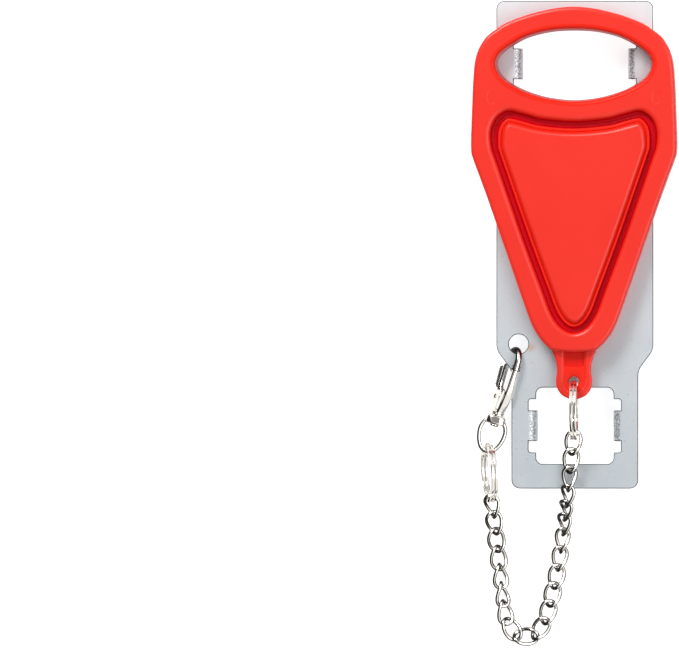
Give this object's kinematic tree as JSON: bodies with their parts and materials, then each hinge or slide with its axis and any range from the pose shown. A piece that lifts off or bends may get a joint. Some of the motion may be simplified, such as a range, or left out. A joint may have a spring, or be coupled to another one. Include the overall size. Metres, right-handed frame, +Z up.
{
  "type": "portable door lock",
  "caption": "Portable door lock: flat claw plate, V-shaped plastic handle with a finger hole, and a chain with split rings and a swivel snap hook that keeps them together.",
  "frame": {"origin": "centre of the plate's underside", "axes": "+Z up through the plate's thickness, +Y towards the plate's wide end, +X to the right"},
  "size_m": [0.0634, 0.1985, 0.0251],
  "materials": {
    "zinc": "zinc plated",
    "red_plastic": "semi-gloss",
    "nickel": "nickel plated",
    "spring_steel": "bare"
  },
  "bodies": {
    "plate": {"plate": "zinc"},
    "handle": {"handle": "red_plastic"},
    "handle_ring": {"split_ring_handle": "nickel"},
    "link_01": {"chain_link_01": "nickel"},
    "link_02": {"chain_link_02": "nickel"},
    "link_03": {"chain_link_03": "nickel"},
    "link_04": {"chain_link_04": "nickel"},
    "link_05": {"chain_link_05": "nickel"},
    "link_06": {"chain_link_06": "nickel"},
    "link_07": {"chain_link_07": "nickel"},
    "link_08": {"chain_link_08": "nickel"},
    "link_09": {"chain_link_09": "nickel"},
    "link_10": {"chain_link_10": "nickel"},
    "link_11": {"chain_link_11": "nickel"},
    "link_12": {"chain_link_12": "nickel"},
    "link_13": {"chain_link_13": "nickel"},
    "link_14": {"chain_link_14": "nickel"},
    "link_15": {"chain_link_15": "nickel"},
    "link_16": {"chain_link_16": "nickel"},
    "link_17": {"chain_link_17": "nickel"},
    "link_18": {"chain_link_18": "nickel"},
    "link_19": {"chain_link_19": "nickel"},
    "link_20": {"chain_link_20": "nickel"},
    "link_21": {"chain_link_21": "nickel"},
    "clasp_ring": {"split_ring_clasp": "nickel"},
    "clasp": {"clasp_body": "nickel", "swivel_rivet": "nickel", "lever_pin": "nickel", "lever_spring": "spring_steel"},
    "eye": {"swivel_eye": "nickel"},
    "lever": {"thumb_lever": "nickel"}
  },
  "joints": [
    {"name": "handle_lift", "type": "slide", "parent": "plate", "child": "handle", "axis": [0, 0, 1], "range_m": [0, 0.008]},
    {"name": "clasp_swing", "type": "hinge", "parent": "plate", "child": "clasp", "pos_m": [-0.0178, -0.03159, 0.0006], "axis": [0, 0, -1], "range_deg": [0, 10]},
    {"name": "eye_swivel", "type": "hinge", "parent": "clasp", "child": "eye", "pos_m": [-0.02463, -0.05465, 0.0006], "axis": [0.284, 0.9588, 0], "range_deg": [-20, 35]},
    {"name": "lever_turn", "type": "hinge", "parent": "clasp", "child": "lever", "pos_m": [-0.02332, -0.0469, -0.00117], "axis": [0.8466, -0.2508, -0.4695], "range_deg": [0, 8], "stiffness_Nm_per_rad": 0.01, "springref_deg": -17.19},
    {"name": "handle_ring_turn", "type": "hinge", "parent": "handle", "child": "handle_ring", "pos_m": [0, -0.0421, 0.0058], "axis": [1, 0, 0], "range_deg": [0, 4.59]},
    {"name": "link_01_turn", "type": "hinge", "parent": "handle_ring", "child": "link_01", "pos_m": [0, -0.05802, 0.00459], "axis": [0, 0, 1], "range_deg": [-1.51, 0]},
    {"name": "link_02_turn", "type": "hinge", "parent": "link_01", "child": "link_02", "pos_m": [-0.00071, -0.06363, 0.00473], "axis": [0.993, -0.118, 0], "range_deg": [0, 4.53]},
    {"name": "link_03_turn", "type": "hinge", "parent": "link_02", "child": "link_03", "pos_m": [-0.00133, -0.06924, 0.00489], "axis": [0, 0, 1], "range_deg": [-0.91, 0]},
    {"name": "link_04_turn", "type": "hinge", "parent": "link_03", "child": "link_04", "pos_m": [-0.0018, -0.07487, 0.00506], "axis": [0.993, -0.118, 0], "range_deg": [-12.74, 0]},
    {"name": "link_05_turn", "type": "hinge", "parent": "link_04", "child": "link_05", "pos_m": [-0.00256, -0.07958, 0.00204], "axis": [0, 0, 1], "range_deg": [-3.89, 0]},
    {"name": "link_06_turn", "type": "hinge", "parent": "link_05", "child": "link_06", "pos_m": [-0.00324, -0.08362, -0.00186], "axis": [0.9888, -0.149, 0], "range_deg": [0, 8.21]},
    {"name": "link_07_turn", "type": "hinge", "parent": "link_06", "child": "link_07", "pos_m": [-0.00386, -0.08827, -0.005], "axis": [0, 0, 1], "range_deg": [-2.3, 0]},
    {"name": "link_08_turn", "type": "hinge", "parent": "link_07", "child": "link_08", "pos_m": [-0.00458, -0.09386, -0.0053], "axis": [0.9907, -0.136, 0], "range_deg": [0, 7.8]},
    {"name": "link_09_turn", "type": "hinge", "parent": "link_08", "child": "link_09", "pos_m": [-0.0054, -0.09945, -0.005], "axis": [0, 0, 1], "range_deg": [0, 2.08]},
    {"name": "link_10_turn", "type": "hinge", "parent": "link_09", "child": "link_10", "pos_m": [-0.00653, -0.10498, -0.005], "axis": [0.976, -0.218, 0], "range_deg": [-2.67, 0]},
    {"name": "link_11_turn", "type": "hinge", "parent": "link_10", "child": "link_11", "pos_m": [-0.00786, -0.11047, -0.005], "axis": [0, 0, 1], "range_deg": [0, 1.86]},
    {"name": "link_12_turn", "type": "hinge", "parent": "link_11", "child": "link_12", "pos_m": [-0.0094, -0.11591, -0.005], "axis": [0.9099, -0.4149, 0], "range_deg": [-10.18, 0]},
    {"name": "link_13_turn", "type": "hinge", "parent": "link_12", "child": "link_13", "pos_m": [-0.01249, -0.12064, -0.005], "axis": [0, 0, 1], "range_deg": [0, 1.44]},
    {"name": "link_14_turn", "type": "hinge", "parent": "link_13", "child": "link_14", "pos_m": [-0.01814, -0.12073, -0.005], "axis": [-0.462, -0.8869, 0], "range_deg": [0, 1.35]},
    {"name": "link_15_turn", "type": "hinge", "parent": "link_14", "child": "link_15", "pos_m": [-0.0213, -0.11605, -0.005], "axis": [0, 0, 1], "range_deg": [0, 1.2]},
    {"name": "link_16_turn", "type": "hinge", "parent": "link_15", "child": "link_16", "pos_m": [-0.02232, -0.11049, -0.005], "axis": [-0.9896, -0.1439, 0], "range_deg": [0, 0.92]},
    {"name": "link_17_turn", "type": "hinge", "parent": "link_16", "child": "link_17", "pos_m": [-0.02293, -0.10487, -0.00511], "axis": [0, 0, 1], "range_deg": [0, 1.26]},
    {"name": "link_18_turn", "type": "hinge", "parent": "link_17", "child": "link_18", "pos_m": [-0.02349, -0.09926, -0.00487], "axis": [-0.9943, -0.107, 0], "range_deg": [-0.59, 0]},
    {"name": "link_19_turn", "type": "hinge", "parent": "link_18", "child": "link_19", "pos_m": [-0.02414, -0.09367, -0.00426], "axis": [0, 0, 1], "range_deg": [0, 1.21]},
    {"name": "link_20_turn", "type": "hinge", "parent": "link_19", "child": "link_20", "pos_m": [-0.02474, -0.0882, -0.00299], "axis": [-0.9947, -0.103, 0], "range_deg": [-0.53, 0]},
    {"name": "link_21_turn", "type": "hinge", "parent": "link_20", "child": "link_21", "pos_m": [-0.02525, -0.08297, -0.00091], "axis": [0, 0, 1], "range_deg": [0, 1.18]},
    {"name": "clasp_ring_turn", "type": "hinge", "parent": "link_21", "child": "clasp_ring", "pos_m": [-0.02575, -0.07781, 0.00132], "axis": [-0.9971, -0.076, 0], "range_deg": [0, 1.97]}
  ],
  "couplings": [
    {"joint": "handle_ring_turn", "follows": "handle_lift", "rad_per_m": 9.8032},
    {"joint": "link_01_turn", "follows": "clasp_swing", "ratio": -0.1474},
    {"joint": "link_02_turn", "follows": "handle_lift", "rad_per_m": 9.6865},
    {"joint": "link_03_turn", "follows": "clasp_swing", "ratio": -0.0885},
    {"joint": "link_04_turn", "follows": "handle_lift", "rad_per_m": -27.245},
    {"joint": "link_05_turn", "follows": "clasp_swing", "ratio": -0.3811},
    {"joint": "link_06_turn", "follows": "handle_lift", "rad_per_m": 17.541},
    {"joint": "link_07_turn", "follows": "clasp_swing", "ratio": -0.225},
    {"joint": "link_08_turn", "follows": "handle_lift", "rad_per_m": 16.665},
    {"joint": "link_09_turn", "follows": "clasp_swing", "ratio": 0.2035},
    {"joint": "link_10_turn", "follows": "handle_lift", "rad_per_m": -5.7002},
    {"joint": "link_11_turn", "follows": "clasp_swing", "ratio": 0.1818},
    {"joint": "link_12_turn", "follows": "handle_lift", "rad_per_m": -21.755},
    {"joint": "link_13_turn", "follows": "clasp_swing", "ratio": 0.1409},
    {"joint": "link_14_turn", "follows": "handle_lift", "rad_per_m": 2.8835},
    {"joint": "link_15_turn", "follows": "clasp_swing", "ratio": 0.1174},
    {"joint": "link_16_turn", "follows": "handle_lift", "rad_per_m": 1.9674},
    {"joint": "link_17_turn", "follows": "clasp_swing", "ratio": 0.123},
    {"joint": "link_18_turn", "follows": "handle_lift", "rad_per_m": -1.2452},
    {"joint": "link_19_turn", "follows": "clasp_swing", "ratio": 0.1186},
    {"joint": "link_20_turn", "follows": "handle_lift", "rad_per_m": -1.1154},
    {"joint": "link_21_turn", "follows": "clasp_swing", "ratio": 0.1152},
    {"joint": "clasp_ring_turn", "follows": "handle_lift", "rad_per_m": 4.2101}
  ]
}
